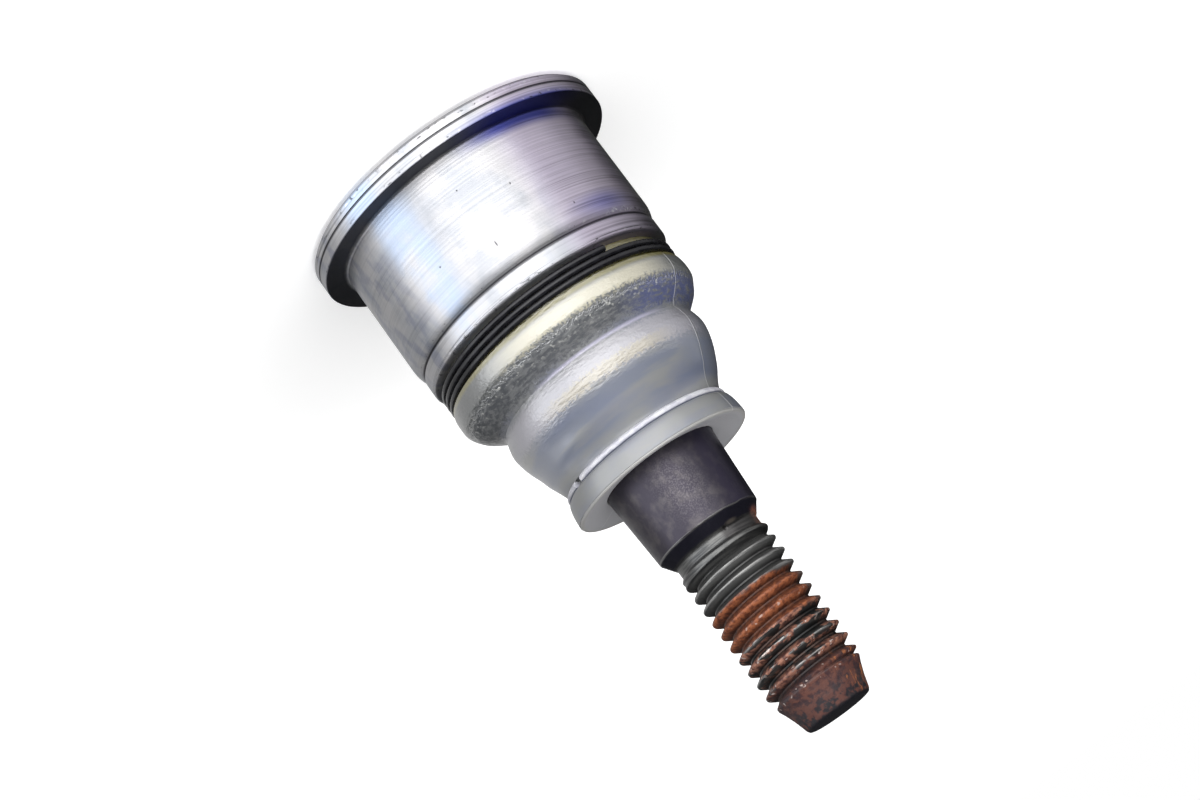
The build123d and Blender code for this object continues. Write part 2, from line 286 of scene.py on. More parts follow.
def make_boot():
    """Two pieces that meet at the waist."""
    upper = rounded(BEAD) + flowing(FOLD_1) + flowing(INSIDE_1)[::-1] + [BEAD_INNER]
    lower = flowing(FOLD_2) + rounded(RING_GROOVE) + flowing(LIP_OUTER) + rounded(LIP_END)
    lower += flowing(INSIDE_2)[::-1]
    pieces = []
    for name, outline, bodies, span in (
            ("boot_upper_fold", upper, ("housing", "boot"), BEND_1),
            ("boot_lower_fold", lower, ("boot", "boot_lip"), BEND_2)):
        bm = spun(outline, BOOT_AROUND)
        rubber_give(bm)
        piece = finished(name, bm, crease=50.0)
        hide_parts("dust_boot")
        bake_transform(piece)
        pieces.append(piece)
    return pieces


# ---- wire rings ----
def wound_wire(name, ring_r, wire_r, start, turns, low, pitch, body, node):
    """Round wire bent round the axis, with square-cut ends."""
    bm = bmesh.new()
    made = bmesh.ops.create_circle(bm, cap_ends=False, segments=20, radius=wire_r * MM)
    place = Matrix.Translation((ring_r * MM, 0, low * MM)) @ Matrix.Rotation(pi / 2, 4, "X")
    bmesh.ops.transform(bm, matrix=Matrix.Rotation(radians(start), 4, "Z") @ place,
                        verts=made["verts"])
    steps = int(turns * 120)
    bmesh.ops.spin(bm, geom=list(bm.edges), cent=(0, 0, 0), axis=(0, 0, 1),
                   dvec=(0, 0, pitch * turns * MM / steps), angle=2 * pi * turns,
                   steps=steps, use_merge=False, use_duplicate=False)
    rims = [e for e in bm.edges if len(e.link_faces) == 1]
    bmesh.ops.holes_fill(bm, edges=rims, sides=0)
    piece = finished(name, bm)
    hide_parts(node)
    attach(piece, body)
    return piece


housing_turned = make_housing()
stud_forged = make_stud()
boot_pieces = make_boot()
clamp_wire = wound_wire("clamp_wire", CLAMP_RING_R, CLAMP_WIRE_R, CLAMP_START, CLAMP_TURNS,
                        CLAMP_RING_Z, CLAMP_PITCH, "housing", "boot_clamp_ring")
lip_wire = wound_wire("lip_wire", LIP_RING_R, LIP_WIRE_R, LIP_RING_START, LIP_RING_TURNS,
                      LIP_RING_Z, 0.0, "boot_lip", "boot_lip_ring")


# ---- shader helpers ----
def feed(tree, socket, value):
    """Link an input to another node's output, or set it to a plain value."""
    if isinstance(value, bpy.types.NodeSocket):
        tree.links.new(value, socket)
    else:
        socket.default_value = value


def add(tree, kind, put=(), **settings):
    """Add a node, set its options and feed its inputs."""
    made = tree.nodes.new("ShaderNode" + kind)
    for key, value in settings.items():
        setattr(made, key, value)
    for key, value in dict(put).items():
        feed(tree, made.inputs[key], value)
    return made


def math(tree, kind, a, b=0.0, c=0.0):
    return add(tree, "Math", {0: a, 1: b, 2: c}, operation=kind).outputs[0]


def spread(tree, value, low, high, to_low=0.0, to_high=1.0):
    """Smooth step from low to high; with low above high it falls instead of rising."""
    put = dict(enumerate((value, low, high, to_low, to_high)))
    return add(tree, "MapRange", put, interpolation_type="SMOOTHSTEP", clamp=True).outputs[0]


def both(tree, a, b):
    """Product of two masks."""
    return math(tree, "MULTIPLY", a, b)


def either(tree, *masks):
    """The strongest of several masks."""
    most = masks[0]
    for mask in masks[1:]:
        most = math(tree, "MAXIMUM", most, mask)
    return most


def rgb(red, green, blue):
    return (red, green, blue, 1.0)


def blend_colour(tree, share, a, b, kind="MIX"):
    return add(tree, "Mix", {0: share, 6: a, 7: b}, data_type="RGBA", blend_type=kind,
               clamp_factor=True).outputs[2]


def paint(tree, colour, *coats):
    """Lay coats over a colour in turn, each a mask, how well it covers, and its colour."""
    for mask, cover, coat in coats:
        share = mask if cover == 1.0 else both(tree, mask, cover)
        colour = blend_colour(tree, share, colour, coat)
    return colour


def dimmed(tree, colour, share):
    """A colour times one number."""
    grey = add(tree, "CombineColor", {0: share, 1: share, 2: share}).outputs[0]
    return blend_colour(tree, 1.0, colour, grey, "MULTIPLY")


def bump(tree, height, depth_mm, strength):
    put = {"Height": height, "Distance": depth_mm * MM, "Strength": strength}
    return add(tree, "Bump", put).outputs[0]


# ---- effects that the finishes share ----
NEAR_BACK, BACK = 112.0, 178.0           # degrees from the front, between which a side fades


def group(name, inputs, outputs):
    """Start a node group of plain numbers; inputs are labels with their first values."""
    tree = bpy.data.node_groups.new(name, "ShaderNodeTree")
    for label, value in inputs:
        socket = tree.interface.new_socket(label, in_out="INPUT", socket_type="NodeSocketFloat")
        socket.default_value = value
    for label in outputs:
        tree.interface.new_socket(label, in_out="OUTPUT", socket_type="NodeSocketFloat")
    put = tree.nodes.new("NodeGroupInput").outputs
    return tree, put, tree.nodes.new("NodeGroupOutput").inputs


def use(tree, shared, put=()):
    """Place a node group in a material and feed it."""
    made = tree.nodes.new("ShaderNodeGroup")
    made.node_tree = shared
    for key, value in dict(put).items():
        feed(tree, made.inputs[key], value)
    return made.outputs


def place_of(tree):
    """Object coordinates as three numbers, in metres."""
    return add(tree, "SeparateXYZ", {0: add(tree, "TexCoord").outputs["Object"]}).outputs


def length_of(tree, x, y):
    """Length of a flat step of x and y."""
    flat = add(tree, "CombineXYZ", {0: x, 1: y}).outputs[0]
    return add(tree, "VectorMath", {0: flat}, operation="LENGTH").outputs["Value"]


def round_place():
    """Height and distance from the axis in millimetres, and degrees round it from -Y."""
    tree, _, out = group("round_place", (), ("Height", "Radius", "Angle"))
    x, y, z = place_of(tree)
    tree.links.new(math(tree, "MULTIPLY", z, 1.0 / MM), out["Height"])
    tree.links.new(math(tree, "MULTIPLY", length_of(tree, x, y), 1.0 / MM), out["Radius"])
    turned = math(tree, "ARCTAN2", x, math(tree, "MULTIPLY", y, -1.0))
    tree.links.new(math(tree, "MULTIPLY", turned, 180.0 / pi), out["Angle"])
    return tree


def stretched_noise():
    """Noise with its own scale across the axis and along it, per millimetre."""
    tree, put, out = group("stretched_noise", (
        ("Round", 1.0), ("Along", 1.0), ("Detail", 2.0), ("Shift", 0.0)), ("Value",))
    x, y, z = place_of(tree)
    side = math(tree, "MULTIPLY", put["Round"], 1.0 / MM)
    rise = math(tree, "MULTIPLY", put["Along"], 1.0 / MM)
    at = add(tree, "CombineXYZ", {0: math(tree, "MULTIPLY_ADD", x, side, put["Shift"]),
                                  1: math(tree, "MULTIPLY", y, side),
                                  2: math(tree, "MULTIPLY", z, rise)}).outputs[0]
    cloud = add(tree, "TexNoise", {"Vector": at, "Scale": 1.0, "Detail": put["Detail"],
                                   "Roughness": 0.55})
    tree.links.new(cloud.outputs[0], out["Value"])
    return tree


def band():
    """1 between two values, with soft edges."""
    tree, put, out = group("band", (
        ("Value", 0.0), ("From", 0.0), ("To", 1.0), ("Soft", 0.1)), ("Mask",))
    rise = spread(tree, put["Value"], math(tree, "SUBTRACT", put["From"], put["Soft"]),
                  math(tree, "ADD", put["From"], put["Soft"]))
    fall = spread(tree, put["Value"], math(tree, "SUBTRACT", put["To"], put["Soft"]),
                  math(tree, "ADD", put["To"], put["Soft"]), 1.0, 0.0)
    tree.links.new(both(tree, rise, fall), out["Mask"])
    return tree


def spot():
    """An oval mark at one height and angle: 1 at its middle."""
    tree, put, out = group("spot", (
        ("Height", 0.0), ("Angle", 0.0), ("At Height", 0.0), ("At Angle", 0.0),
        ("Tall", 1.0), ("Wide", 1.0), ("Edge", 0.4)), ("Mask",))
    rise = math(tree, "DIVIDE", math(tree, "SUBTRACT", put["Height"], put["At Height"]),
                put["Tall"])
    turn = math(tree, "DIVIDE", math(tree, "SUBTRACT", put["Angle"], put["At Angle"]),
                put["Wide"])
    away = length_of(tree, rise, turn)
    tree.links.new(spread(tree, away, put["Edge"], 1.0, 1.0, 0.0), out["Mask"])
    return tree


def one_side():
    """1 past an angle on one side of the front, and 0 again by the back."""
    tree, put, out = group("one_side", (("Angle", 0.0), ("From", 0.0), ("To", 1.0)), ("Mask",))
    past = spread(tree, put["Angle"], put["From"], put["To"])
    before_back = spread(tree, math(tree, "ABSOLUTE", put["Angle"]), BACK, NEAR_BACK)
    tree.links.new(both(tree, past, before_back), out["Mask"])
    return tree


PLACE, STREAKS, BAND, SPOT, ONE_SIDE = (
    round_place(), stretched_noise(), band(), spot(), one_side())


def noise_at(tree, around, along, detail=3.0, shift=0.0):
    """The stretched noise; a shift picks another stretch of it."""
    put = {"Round": around, "Along": along, "Detail": detail, "Shift": shift}
    return use(tree, STREAKS, put)["Value"]


def between(tree, value, low, high, soft):
    """1 from low to high, with edges this soft."""
    return use(tree, BAND, {"Value": value, "From": low, "To": high, "Soft": soft})["Mask"]


def mark(tree, at, height, angle, tall, wide, edge=0.0):
    """One oval mark; tall and wide are half its height in millimetres and width in degrees."""
    put = {"Height": at["Height"], "Angle": at["Angle"], "At Height": height,
           "At Angle": angle, "Tall": tall, "Wide": wide, "Edge": edge}
    return use(tree, SPOT, put)["Mask"]


def sided(tree, angle, low, high):
    """The whole side past these angles; with low above high it is the right side."""
    return use(tree, ONE_SIDE, {"Angle": angle, "From": low, "To": high})["Mask"]


# ---- finishes ----
# Heights and distances from the axis are in millimetres and angles in degrees. Left and right
# are as the camera sees them, so that negative angles lie to the right.
def shader(name):
    """A material with one Principled BSDF; gives the material, its tree and the inputs."""
    made = bpy.data.materials.new(name)
    made.use_nodes = True
    tree = made.node_tree
    tree.nodes.clear()
    surface = tree.nodes.new("ShaderNodeBsdfPrincipled")
    output = tree.nodes.new("ShaderNodeOutputMaterial")
    tree.links.new(surface.outputs[0], output.inputs[0])
    return made, tree, surface.inputs


def turned_skin(tree, skin, rough, fine):
    """A lathe's marks stretch the highlight across them."""
    skin["Metallic"].default_value = 1.0
    skin["Anisotropic"].default_value = 0.6
    skin["Anisotropic Rotation"].default_value = 0.25
    tangent = add(tree, "Tangent", direction_type="RADIAL", axis="Z").outputs[0]
    tree.links.new(tangent, skin["Tangent"])
    tree.links.new(spread(tree, fine, 0.3, 0.7, rough - 0.05, rough + 0.09), skin["Roughness"])


# Height, angle, half height and half width in degrees of each nick in the barrel.
NICKS = ((11.8, -18.0, 0.25, 0.6), (18.2, -35.5, 0.25, 0.6), (17.7, 0.3, 0.75, 0.5),
         (8.6, 0.5, 0.2, 0.5), (15.2, 23.5, 0.22, 0.7))


def housing_finish():
    """Bright zinc over lathe lines, stained on the left and tinted violet on the right."""
    made, tree, skin = shader("turned_zinc_plate")
    at = use(tree, PLACE)
    z, radius, angle = at["Height"], at["Radius"], at["Angle"]
    fine = noise_at(tree, 0.02, 7.0, 1.0)
    coarse = noise_at(tree, 0.03, 2.8, 3.0, 4.0)
    cloud = noise_at(tree, 0.22, 0.14, 5.0, 9.0)
    grit = noise_at(tree, 0.9, 1.6, 4.0, 2.0)
    right = sided(tree, angle, -22.0, -40.0)

    # Tints of the plating, and painted shade on the flange's face and beside the flange.
    lilac = between(tree, angle, -74.0, -26.0, 9.0)
    sky = both(tree, between(tree, angle, 21.0, 38.0, 6.0), spread(tree, cloud, 0.3, 0.6))
    stain = both(tree, spread(tree, noise_at(tree, 0.35, 0.2, 4.0, 11.0), 0.46, 0.6),
                 sided(tree, angle, 33.0, 52.0))
    violet = mark(tree, at, 19.4, -50.0, 2.6, 24.0)
    # Painted shade: the flange's face towards the stud darkened.
    painted_flange_shade = both(tree, between(tree, z, 3.3, 3.6, 0.12), spread(tree, radius, 19.8, 20.2))
    # A blue tint of the plating beside the flange, darkened there as painted shade.
    deep = both(tree, between(tree, z, 2.9, 5.0, 0.9), between(tree, angle, -62.0, -16.0, 13.0))
    colour = blend_colour(tree, spread(tree, cloud, 0.38, 0.66), rgb(0.43, 0.425, 0.435),
                          rgb(0.33, 0.34, 0.365))
    colour = paint(tree, colour,
                   (lilac, 0.8, rgb(0.48, 0.425, 0.535)),
                   (sky, 1.0, rgb(0.36, 0.42, 0.53)),
                   (stain, 0.5, rgb(0.2, 0.215, 0.29)),
                   (violet, 0.75, rgb(0.16, 0.16, 0.42)),
                   (painted_flange_shade, 0.8, rgb(0.07, 0.075, 0.1)),
                   (deep, 0.9, rgb(0.04, 0.055, 0.33)))

    # Lathe lines, strongest on the rim and on the right.
    lines = math(tree, "ADD", both(tree, coarse, 0.5), both(tree, fine, 0.5))
    rim = spread(tree, radius, 22.4, 22.7)
    depth = math(tree, "MULTIPLY_ADD", either(tree, both(tree, right, 0.4), rim), 1.5, 0.35)
    tone = math(tree, "MULTIPLY_ADD", math(tree, "SUBTRACT", lines, 0.5), depth, 1.0)
    wander = both(tree, coarse, 9.0)
    feed_lines = math(tree, "SINE", math(tree, "MULTIPLY_ADD", z, 2 * pi / FEED, wander))
    tone = math(tree, "MULTIPLY_ADD", feed_lines, math(tree, "MULTIPLY_ADD", right, 0.05, 0.02),
                tone)
    scores = both(tree, spread(tree, lines, 0.46, 0.38),
                  math(tree, "MULTIPLY_ADD", right, 0.12, 0.1))
    tone = both(tree, tone, math(tree, "SUBTRACT", 1.0, scores))
    colour = dimmed(tree, colour, tone)

    # Nicks, chipped or rubbed corners, painted shade in the two grooves, scratch lines by the
    # land's edge, and loose flakes of zinc.
    nicks = either(tree, *(mark(tree, at, *nick) for nick in NICKS))
    flange_corners = either(tree, between(tree, z, 0.2, 1.1, 0.2), between(tree, z, 2.9, 3.4, 0.2))
    corners = either(tree, between(tree, z, 20.9, 21.4, 0.25), between(tree, z, 23.9, 24.6, 0.2),
                     both(tree, spread(tree, radius, 22.75, 22.95), flange_corners))
    chips = both(tree, corners, spread(tree, grit, 0.6, 0.68))
    shine = both(tree, corners, spread(tree, grit, 0.4, 0.3))
    # Painted shade in the two grooves.
    grooves = either(tree, between(tree, z, 21.42, 21.78, 0.1),
                     between(tree, z, 1.6, 1.88, 0.05))
    hatch = both(tree, between(tree, z, 23.7, 24.45, 0.15),
                 spread(tree, noise_at(tree, 0.12, 11.0, 1.0, 3.0), 0.5, 0.62))
    groove_shade_and_scratches = either(tree, both(tree, grooves, 0.8), both(tree, hatch, 0.65))
    flakes = both(tree, mark(tree, at, 21.0, -56.0, 0.55, 13.0),
                  spread(tree, noise_at(tree, 2.2, 2.6, 2.0, 8.0), 0.54, 0.6))
    colour = paint(tree, colour,
                   (either(tree, both(tree, shine, 0.4), flakes), 1.0, rgb(0.8, 0.8, 0.84)),
                   (either(tree, nicks, both(tree, chips, 0.8), groove_shade_and_scratches), 1.0,
                    rgb(0.045, 0.045, 0.05)))
    tree.links.new(colour, skin["Base Color"])
    turned_skin(tree, skin, 0.4, fine)
    height = math(tree, "SUBTRACT", lines, both(tree, either(tree, nicks, chips), 2.5))
    tree.links.new(bump(tree, height, 0.02, 0.55), skin["Normal"])
    return made


def cover_finish():
    """Pressed sheet with a duller zinc."""
    made, tree, skin = shader("pressed_zinc_sheet")
    fine = noise_at(tree, 0.5, 2.0, 3.0)
    cloud = noise_at(tree, 0.3, 0.3, 4.0, 5.0)
    colour = blend_colour(tree, spread(tree, cloud, 0.35, 0.68), rgb(0.48, 0.475, 0.48),
                          rgb(0.33, 0.34, 0.37))
    tree.links.new(colour, skin["Base Color"])
    turned_skin(tree, skin, 0.34, fine)
    tree.links.new(bump(tree, fine, 0.02, 0.4), skin["Normal"])
    return made


def rubber_finish():
    """Satin grey rubber: painted highlights on the crests and waist, a valley darkened as painted
    shade with crease marks, olive bead, seams and glossy folds.
    """
    made, tree, skin = shader("boot_rubber")
    at = use(tree, PLACE)
    z, radius, angle = at["Height"], at["Radius"], at["Angle"]
    cloud = noise_at(tree, 0.12, 0.3, 4.0)
    grain = noise_at(tree, 2.3, 2.5, 2.0, 6.0)
    creases = noise_at(tree, 0.75, 2.6, 3.0, 2.0)
    speck = noise_at(tree, 1.7, 1.9, 1.0, 1.0)
    drift = noise_at(tree, 0.05, 0.42, 3.0, 5.0)
    ragged = math(tree, "MULTIPLY_ADD", math(tree, "SUBTRACT", grain, 0.5), 2.2, z)

    # First fold, from the bead to the waist.
    upper = spread(tree, z, 34.6, 33.8)
    # Painted shade: the left side of the first fold darkened.
    shady = both(tree, upper, sided(tree, angle, 28.0, 44.0))
    front = between(tree, angle, -54.0, 27.0, 14.0)
    # Painted highlight: a cream band on the first fold's crest, at the front only.
    crest = both(tree, both(tree, spread(tree, z, 28.7, 29.7), spread(tree, ragged, 31.6, 30.9)),
                 front)
    olive = between(tree, z, 24.0, 28.9, 0.3)
    # Painted shade: the valley below the crest darkened, with crease marks in it.
    valley = between(tree, ragged, 31.7, 34.5, 0.5)
    creased_valley_shade = blend_colour(tree, spread(tree, creases, 0.4, 0.62), rgb(0.07, 0.075, 0.085),
                           rgb(0.16, 0.165, 0.17))
    dusk = both(tree, both(tree, valley, sided(tree, angle, -22.0, -48.0)),
                spread(tree, creases, 0.68, 0.45))
    # Painted highlight: a light lilac line along the waist.
    painted_waist_highlight = both(tree, between(tree, z, 34.85, 35.3, 0.15), between(tree, angle, -48.0, 24.0, 12.0))
    # Painted highlight: light specks below the first fold's crest.
    painted_highlight_specks = both(tree, spread(tree, speck, 0.6, 0.7), between(tree, z, 31.3, 33.0, 0.7))

    # Second fold, then the lip.
    # Painted highlight on the fold below the waist, cream along its lower edge.
    painted_second_highlight = both(tree, between(tree, ragged, 35.6, 39.4, 0.5),
                  between(tree, angle, -74.0, 72.0, 12.0))
    painted_warm_highlight = both(tree, between(tree, ragged, 38.0, 39.5, 0.4),
                between(tree, angle, -40.0, 28.0, 14.0))
    blue = both(tree, between(tree, z, 40.2, 44.9, 0.7),
                either(tree, spread(tree, drift, 0.42, 0.58), sided(tree, angle, -35.0, -60.0)))
    # Painted light: the lip's end face made paler.
    face = both(tree, spread(tree, z, 49.9, 50.0), spread(tree, radius, 13.3, 12.8))
    # Painted highlight: a light line along the lip's outer edge.
    edge = both(tree, spread(tree, z, 50.5, 50.8), between(tree, radius, 12.9, 13.8, 0.2))

    # The two mould seams lie opposite each other.
    from_seam = math(tree, "PINGPONG", math(tree, "ADD", angle, 65.0), 90.0)
    seam = both(tree, between(tree, from_seam, -1.0, 0.42, 0.25), spread(tree, z, 28.4, 28.8))
    seam_shine = both(tree, seam, spread(tree, z, 46.0, 48.0, 0.55, 0.85))

    colour = blend_colour(tree, spread(tree, cloud, 0.36, 0.64), rgb(0.215, 0.22, 0.222),
                          rgb(0.18, 0.192, 0.235))
    colour = paint(tree, colour,
                   (upper, 0.8, rgb(0.13, 0.135, 0.13)),
                   (shady, 0.65, rgb(0.05, 0.055, 0.055)),
                   (crest, 0.95, rgb(0.5, 0.47, 0.36)),
                   (olive, 1.0, rgb(0.17, 0.15, 0.035)),
                   (valley, 0.85, creased_valley_shade),
                   (dusk, 0.7, rgb(0.1, 0.12, 0.27)),
                   (painted_waist_highlight, 0.8, rgb(0.46, 0.44, 0.58)),
                   (painted_second_highlight, 0.8, rgb(0.315, 0.305, 0.345)),
                   (painted_warm_highlight, 0.75, rgb(0.4, 0.36, 0.27)),
                   (blue, 0.6, rgb(0.12, 0.145, 0.225)),
                   (face, 1.0, rgb(0.4, 0.4, 0.42)),
                   (edge, 0.7, rgb(0.42, 0.41, 0.39)),
                   (seam_shine, 1.0, rgb(0.55, 0.55, 0.56)),
                   (painted_highlight_specks, 0.6, rgb(0.5, 0.5, 0.47)))
    tree.links.new(colour, skin["Base Color"])
    tree.links.new(math(tree, "MULTIPLY_ADD", grain, 0.16, 0.26), skin["Roughness"])
    skin["IOR"].default_value = 1.6
    skin["Specular IOR Level"].default_value = 0.8
    skin["Coat IOR"].default_value = 1.8
    skin["Coat Roughness"].default_value = 0.22
    tree.links.new(spread(tree, z, 44.0, 46.5, 0.9, 0.15), skin["Coat Weight"])
    where = either(tree, valley, both(tree, spread(tree, z, 42.0, 39.0), 0.5))
    leather = math(tree, "ADD", both(tree, grain, 0.3), both(tree, creases, 0.75))
    height = math(tree, "ADD", both(tree, where, leather), both(tree, seam, 0.4))
    height = math(tree, "MULTIPLY_ADD", grain, 0.015, height)
    skin_normal = bump(tree, height, 0.34, 0.72)
    tree.links.new(skin_normal, skin["Normal"])
    tree.links.new(skin_normal, skin["Coat Normal"])
    return made


def cloudy_finish(name, colour, rough, metal, clouds=(0.6, 0.6, 4.0), shade=0.8, sharpen=None,
                  depth=0.04):
    """One colour clouded with a darker shade of itself; rough is its least and its most."""
    made, tree, skin = shader(name)
    cloud = noise_at(tree, *clouds)
    dark = rgb(*(c * shade for c in colour))
    share = spread(tree, cloud, *sharpen) if sharpen else cloud
    tree.links.new(blend_colour(tree, share, dark, rgb(*colour)), skin["Base Color"])
    skin["Metallic"].default_value = metal
    tree.links.new(spread(tree, cloud, 0.3, 0.7, *rough), skin["Roughness"])
    tree.links.new(bump(tree, cloud, depth, 0.3), skin["Normal"])
    return made


def lip_wire_finish():
    """Bright zinc, with painted shade where the lip shades it."""
    made, tree, skin = shader("bright_zinc_wire")
    cloud = noise_at(tree, 0.7, 1.6, 3.0)
    colour = blend_colour(tree, spread(tree, cloud, 0.35, 0.65), rgb(0.55, 0.55, 0.62),
                          rgb(0.74, 0.74, 0.78))
    shaded = spread(tree, use(tree, PLACE)["Height"], 47.22, 47.42)
    colour = paint(tree, colour, (shaded, 1.0, rgb(0.19, 0.21, 0.3)))
    tree.links.new(colour, skin["Base Color"])
    skin["Metallic"].default_value = 0.1
    tree.links.new(spread(tree, cloud, 0.3, 0.7, 0.4, 0.58), skin["Roughness"])
    tree.links.new(bump(tree, cloud, 0.05, 0.4), skin["Normal"])
    return made


def stud_finish():
    """Black taper, bare steel undercut and first turns, then rust over the thread and dog."""
    made, tree, skin = shader("black_stud_and_rust")
    at = use(tree, PLACE)
    z, radius, angle = at["Height"], at["Radius"], at["Angle"]
    cloud = noise_at(tree, 0.6, 0.5, 5.0)
    grit = noise_at(tree, 1.5, 1.5, 4.0, 3.0)
    swirl = noise_at(tree, 0.22, 3.2, 3.0, 2.0)
    patch = noise_at(tree, 0.3, 0.75, 4.0, 7.0)
    speck = noise_at(tree, 1.2, 1.4, 1.0, 5.0)
    fine = noise_at(tree, 5.0, 5.0, 3.0, 4.0)
    mottle = math(tree, "MULTIPLY_ADD", grit, 0.5, both(tree, cloud, 0.5))

    # Where the thread is, and its crests and grooves.
    thread = both(tree, spread(tree, z, 65.6, 66.4), spread(tree, z, 86.0, 85.8))
    crest = both(tree, thread, spread(tree, radius, 6.7, 6.85))
    # Painted shade: the roots of the thread's grooves darkened.
    groove = both(tree, thread, spread(tree, radius, 6.25, 5.85))
    matt = both(tree, thread, spread(tree, z, 71.0, 77.0, 0.6, 0.2))
    # Wear and a painted highlight: light lines on the thread's crests and the taper's lower edge.
    wear_and_crest_highlight = both(tree, either(tree, crest, between(tree, z, 61.0, 61.28, 0.07)),
                spread(tree, swirl, 0.38, 0.58))

    # Rust: the middle turns, the last turns in patches, the dog, and one side of the undercut.
    middle = between(tree, math(tree, "MULTIPLY_ADD", patch, 1.6, z), 72.2, 78.0, 0.25)
    fresh = math(tree, "MULTIPLY_ADD", sided(tree, angle, -60.0, -74.0), -0.65, 1.0)
    middle = both(tree, middle, fresh)
    late = both(tree, spread(tree, z, 76.4, 77.4), spread(tree, patch, 0.45, 0.51))
    late = both(tree, late, spread(tree, radius, 5.75, 6.3, 0.35, 1.0))
    end = spread(tree, z, 82.6, 84.8)
    side = both(tree, between(tree, z, 62.2, 64.8, 0.5), sided(tree, angle, -56.0, -76.0))
    rusty = either(tree, middle, late, end, side)

    black = blend_colour(tree, spread(tree, cloud, 0.42, 0.72), rgb(0.04, 0.036, 0.047),
                         rgb(0.068, 0.062, 0.068))
    steel = blend_colour(tree, spread(tree, swirl, 0.35, 0.65), rgb(0.045, 0.046, 0.048),
                         rgb(0.125, 0.125, 0.122))
    orange = blend_colour(tree, spread(tree, grit, 0.38, 0.62), rgb(0.13, 0.036, 0.016),
                          rgb(0.33, 0.105, 0.042))
    brown = blend_colour(tree, spread(tree, grit, 0.4, 0.6), rgb(0.09, 0.032, 0.024),
                         rgb(0.36, 0.165, 0.11))
    dog = blend_colour(tree, spread(tree, mottle, 0.42, 0.58), rgb(0.03, 0.013, 0.017),
                       rgb(0.09, 0.03, 0.022))
    streak = both(tree, noise_at(tree, 1.3, 0.12, 3.0, 6.0), sided(tree, angle, 10.0, -40.0))
    soot = both(tree, spread(tree, mottle, 0.52, 0.46), spread(tree, z, 87.0, 89.6))
    dog = paint(tree, dog,
                (spread(tree, streak, 0.5, 0.62), 1.0, rgb(0.36, 0.12, 0.04)),
                (soot, 1.0, rgb(0.01, 0.009, 0.013)))
    colour = paint(tree, rgb(0.6, 0.6, 0.61),
                   (spread(tree, z, 30.0, 30.6), 1.0, black),
                   (spread(tree, z, 61.2, 61.35), 1.0, rgb(0.035, 0.034, 0.052)),
                   (spread(tree, z, 62.6, 63.0), 1.0, steel),
                   (matt, 1.0, rgb(0.115, 0.115, 0.113)),
                   (groove, 0.5, rgb(0.035, 0.036, 0.036)),
                   (wear_and_crest_highlight, 0.45, rgb(0.42, 0.42, 0.41)),
                   (late, 1.0, brown),
                   (middle, 1.0, orange),
                   (side, 0.7, orange),
                   (end, 0.9, dog))
    # Painted shade: the thread darkened towards the roots of its grooves.
    deep = both(tree, spread(tree, radius, 6.9, 5.75, 0.0, 0.8),
                spread(tree, z, 69.5, 72.0, 0.3, 0.75))
    colour = dimmed(tree, colour, math(tree, "SUBTRACT", 1.0, both(tree, thread, deep)))

    # Marks, with a painted glint and painted shade, on top of everything else.
    # Painted glint: light specks at the front of the taper.
    glint = both(tree, spread(tree, fine, 0.42, 0.7), mark(tree, at, 56.0, -4.0, 8.0, 36.0))
    # Painted shade, tinted purple, on the taper's right side.
    purple_painted_shade = both(tree, spread(tree, z, 61.2, 61.0), sided(tree, angle, -22.0, -52.0))
    # Painted shade on the undercut's right side.
    shady = both(tree, between(tree, z, 62.9, 64.5, 0.3), between(tree, angle, -80.0, -12.0, 4.0))
    fleck = both(tree, both(tree, spread(tree, speck, 0.66, 0.7), spread(tree, z, 73.0, 77.0)),
                 spread(tree, radius, 6.2, 6.6))
    scratch = mark(tree, at, 62.75, -29.0, 0.35, 11.0, 0.2)
    dent = mark(tree, at, 63.1, -18.5, 0.42, 3.6, 0.3)
    colour = paint(tree, colour,
                   (spread(tree, z, 89.9, 90.4), 1.0, rgb(0.008, 0.008, 0.011)),
                   (glint, 0.25, rgb(0.24, 0.225, 0.235)),
                   (purple_painted_shade, 0.6, rgb(0.022, 0.017, 0.045)),
                   (shady, 0.65, rgb(0.03, 0.027, 0.028)),
                   (fleck, 0.75, rgb(0.6, 0.5, 0.46)),
                   (scratch, 0.6, rgb(0.3, 0.26, 0.22)),
                   (dent, 0.75, rgb(0.02, 0.018, 0.018)))
    tree.links.new(colour, skin["Base Color"])
    dull = either(tree, rusty, matt)
    tree.links.new(spread(tree, dull, 0.0, 1.0, 0.85, 0.1), skin["Metallic"])
    shine = spread(tree, rusty, 0.0, 1.0, 0.36, 0.56)
    tree.links.new(math(tree, "MULTIPLY_ADD", grit, 0.2, math(tree, "SUBTRACT", shine, 0.1)),
                   skin["Roughness"])
    flaky = both(tree, grit, math(tree, "MULTIPLY_ADD", rusty, 0.85, 0.15))
    lathe = both(tree, both(tree, swirl, 0.5), thread)
    height = math(tree, "SUBTRACT", math(tree, "ADD", flaky, lathe), both(tree, dent, 1.6))
    tree.links.new(bump(tree, height, 0.12, 0.7), skin["Normal"])
    return made


def dress(piece, material):
    piece.data.materials.clear()
    piece.data.materials.append(material)


